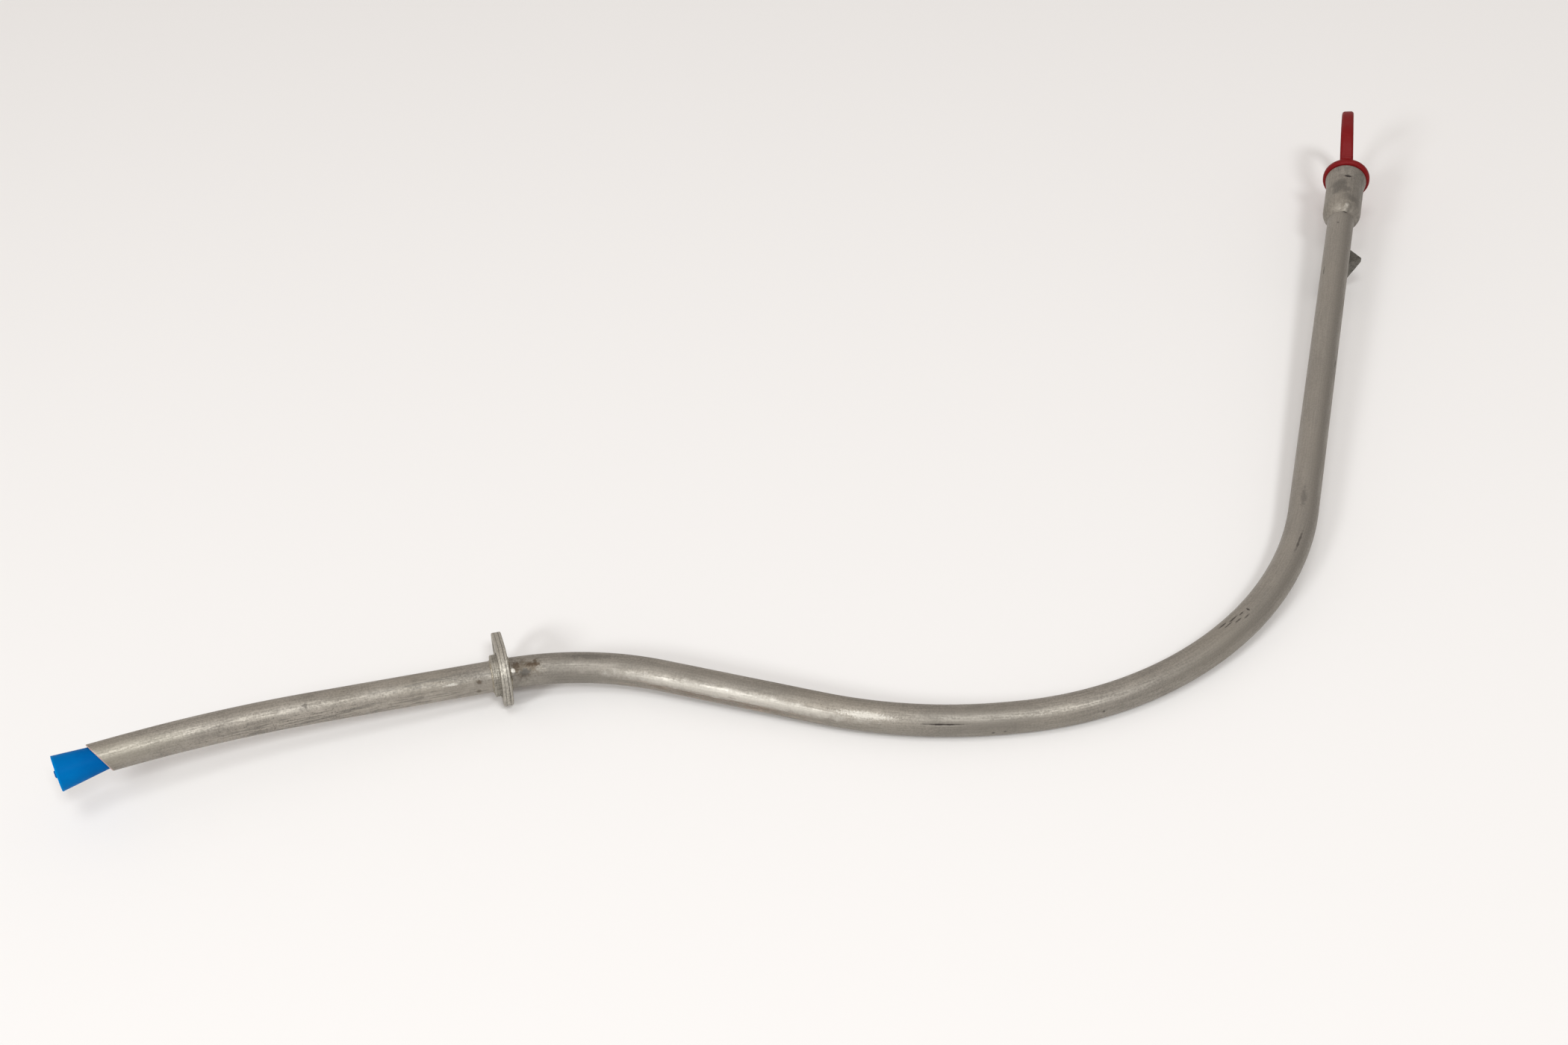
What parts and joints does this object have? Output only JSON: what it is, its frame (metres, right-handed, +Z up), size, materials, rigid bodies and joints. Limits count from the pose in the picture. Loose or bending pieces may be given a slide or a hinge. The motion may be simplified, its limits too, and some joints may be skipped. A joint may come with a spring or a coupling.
{
  "type": "engine oil dipstick and guide tube",
  "caption": "Bent steel guide tube with flange, stay bracket and socket cup; a flat blade on a looped cap pulls out of its upper end and a tapered plug closes its lower end.",
  "frame": {"origin": "bottom centre of the bounding box, on the floor the part lies on", "axes": "+X along the longest extent, from the plugged lower end towards the knee; +Y from the knee towards the cap; +Z up from the floor"},
  "size_m": [0.6082, 0.3852, 0.0469],
  "materials": {
    "zinc_steel": "dull zinc plate, scuffed",
    "dark_steel": "dull zinc plate, darkened",
    "red_plastic": "moulded, semi-gloss",
    "black_rubber": "matte",
    "spring_steel": "bright rolled",
    "blue_plastic": "soft, slightly translucent"
  },
  "bodies": {
    "tube": {"guide_tube": "zinc_steel", "mounting_flange": "zinc_steel", "seat_ring": "zinc_steel", "socket_cup": "zinc_steel", "stay_bracket": "dark_steel"},
    "dipstick": {"cap_handle": "red_plastic", "seal_ring": "black_rubber", "blade": "spring_steel", "blade_pin": "spring_steel"},
    "plug": {"end_plug": "blue_plastic"}
  },
  "joints": [
    {"name": "dipstick_pull", "type": "slide", "parent": "tube", "child": "dipstick", "axis": [0.3275, 0.9432, 0.0551], "range_m": [0, 0.7], "deforming": ["blade"]},
    {"name": "plug_pull", "type": "slide", "parent": "tube", "child": "plug", "axis": [-0.9103, -0.4114, 0.0449], "range_m": [0, 0.04]}
  ]
}
